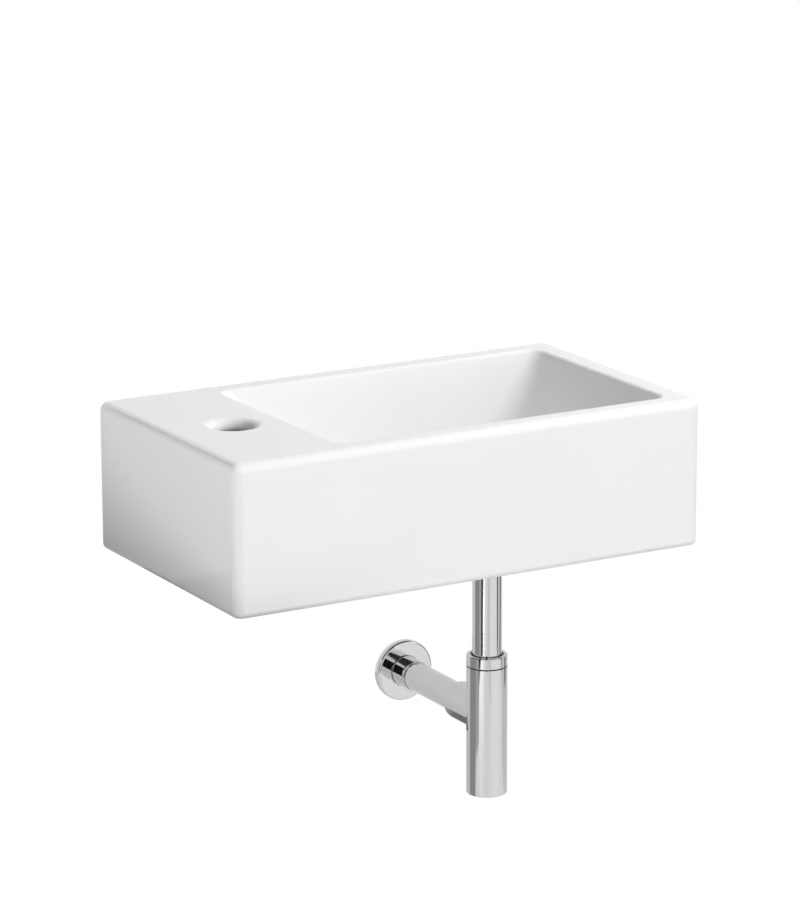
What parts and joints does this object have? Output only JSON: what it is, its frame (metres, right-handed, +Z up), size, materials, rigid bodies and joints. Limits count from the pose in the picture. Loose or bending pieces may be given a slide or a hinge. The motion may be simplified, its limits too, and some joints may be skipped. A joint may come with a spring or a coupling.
{
  "type": "wall hung basin",
  "caption": "Compact rectangular wall hung hand basin in white glazed ceramic, with a side tap deck, a deep tapered bowl, a push plug waste and a chrome bottle trap with a wall rosette.",
  "frame": {"origin": "halfway between the two wall fixings, in the wall plane", "axes": "+X to the right seen from the front, +Y into the wall, +Z up"},
  "size_m": [0.45, 0.307, 0.3596],
  "materials": {
    "glazed_china": "gloss white glaze over vitreous china",
    "chrome_brass": "bright chrome plate",
    "bare_brass": "machined",
    "zinc_steel": "zinc plated",
    "spring_steel": "drawn stainless wire",
    "black_rubber": "matt",
    "white_nylon": "moulded"
  },
  "bodies": {
    "basin": {"basin": "glazed_china", "hanger_bolts": "zinc_steel", "fixing_bushes": "white_nylon", "fixing_washers": "zinc_steel", "fixing_nuts": "zinc_steel", "waste_flange": "chrome_brass", "waste_top_seal": "black_rubber", "waste_bottom_seal": "black_rubber", "waste_locknut": "bare_brass", "plug_barrel": "bare_brass", "coupling_nut": "chrome_brass", "coupling_seal": "black_rubber", "tailpipe": "chrome_brass"},
    "push_plug": {"plug_cap": "chrome_brass", "plug_seal": "black_rubber", "plug_stem": "bare_brass", "plug_spring": "spring_steel"},
    "sliding_joint": {"slip_ring": "white_nylon", "collar_seal": "black_rubber"},
    "trap": {"trap_body": "chrome_brass", "collar_nut": "chrome_brass", "outlet_seal": "black_rubber"},
    "cleaning_plug": {"cleaning_plug": "chrome_brass", "cleaning_seal": "black_rubber"},
    "outlet": {"outlet_pipe": "chrome_brass", "wall_sleeve": "chrome_brass"},
    "rosette": {"rosette": "chrome_brass"}
  },
  "joints": [
    {"name": "plug_press", "type": "slide", "parent": "basin", "child": "push_plug", "axis": [0, 0, 1], "range_m": [-0.005, 0], "deforming": ["plug_spring"]},
    {"name": "trap_height", "type": "slide", "parent": "basin", "child": "sliding_joint", "axis": [0, 0, 1], "range_m": [-0.02, 0.008]},
    {"name": "trap_swivel", "type": "hinge", "parent": "sliding_joint", "child": "trap", "pos_m": [0.0745, -0.15, -0.13], "axis": [0, 0, 1], "continuous": true},
    {"name": "cleaning_plug_out", "type": "slide", "parent": "trap", "child": "cleaning_plug", "axis": [0, 0, -1], "range_m": [0, 0.035]},
    {"name": "outlet_length", "type": "slide", "parent": "trap", "child": "outlet", "axis": [0, 1, 0], "range_m": [-0.003, 0.015]},
    {"name": "rosette_slide", "type": "slide", "parent": "outlet", "child": "rosette", "axis": [0, -1, 0], "range_m": [0, 0.09]}
  ]
}
